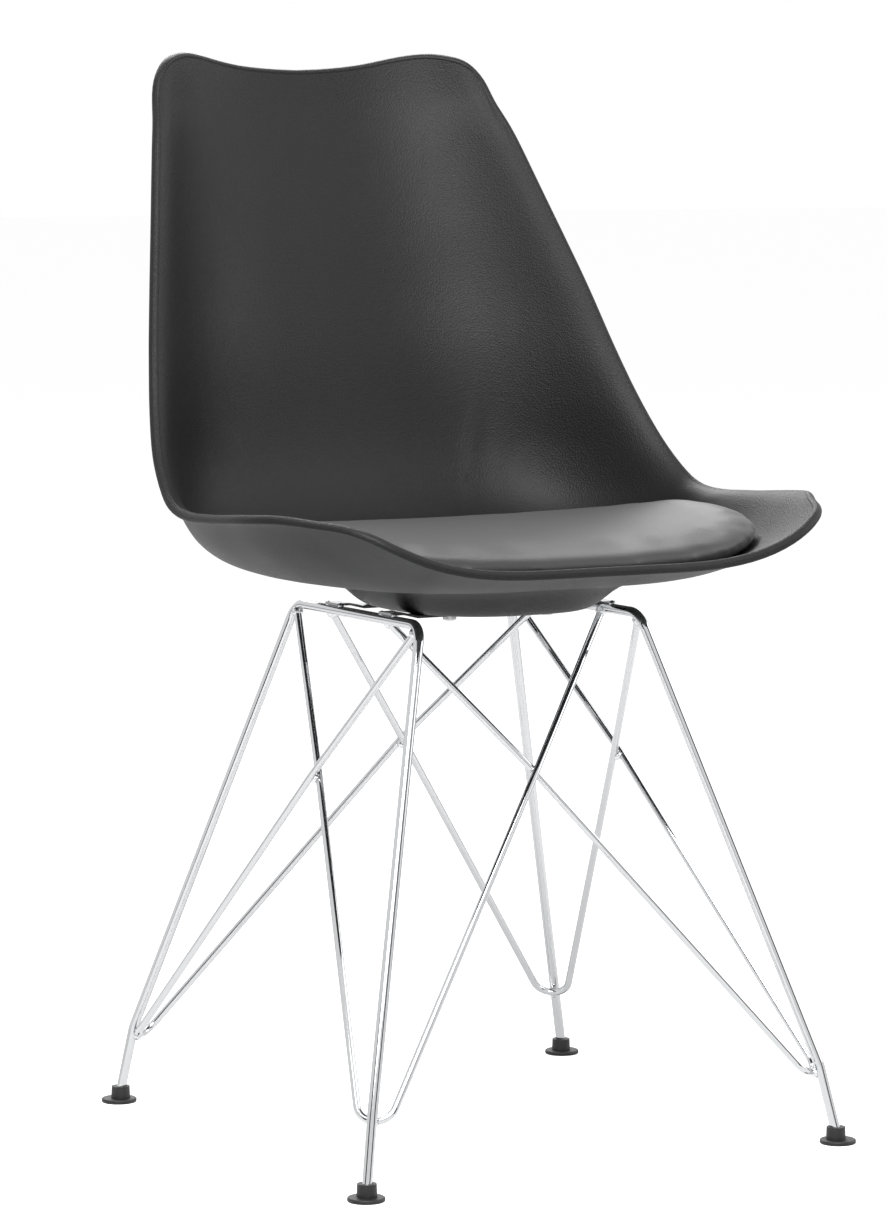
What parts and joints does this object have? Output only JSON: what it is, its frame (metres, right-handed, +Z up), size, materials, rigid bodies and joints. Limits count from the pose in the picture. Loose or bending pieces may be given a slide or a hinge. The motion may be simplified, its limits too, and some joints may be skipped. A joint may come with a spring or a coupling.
{
  "type": "side chair",
  "caption": "side chair with a moulded plastic bucket seat shell, an upholstered seat pad and a welded base of thin chromed steel rods on push-on floor glides",
  "frame": {"origin": "on the floor, midway between the four feet", "axes": "the sitter faces -Y, +X is the sitter's left, +Z is up"},
  "size_m": [0.4984, 0.5245, 0.8469],
  "materials": {
    "shell_plastic": "fine moulded grain, satin",
    "pad_cover": "synthetic leather, fine grain",
    "pad_foam": "cut foam",
    "pad_board": "raw moulded plywood",
    "chromed_rod": "polished plating",
    "chromed_strap": "polished plating",
    "weld_metal": "plated over a slightly rough bead",
    "glide_plastic": "satin",
    "screw_steel": "zinc plated",
    "insert_brass": "turned"
  },
  "bodies": {
    "root": {"seat_shell": "shell_plastic", "pad_cover": "pad_cover", "pad_foam": "pad_foam", "pad_board": "pad_board", "hoop_right": "chromed_rod", "hoop_left": "chromed_rod", "brace_front_left": "chromed_rod", "brace_front_right": "chromed_rod", "brace_rear_left": "chromed_rod", "brace_rear_right": "chromed_rod", "glide_front_left": "glide_plastic", "glide_front_right": "glide_plastic", "glide_rear_left": "glide_plastic", "glide_rear_right": "glide_plastic", "strap_front": "chromed_strap", "strap_rear": "chromed_strap", "seat_screws": "screw_steel", "seat_washers": "screw_steel", "shell_inserts": "insert_brass", "welds_crossings": "weld_metal", "welds_hoops": "weld_metal", "welds_legs": "weld_metal", "welds_straps": "weld_metal"}
  },
  "joints": []
}
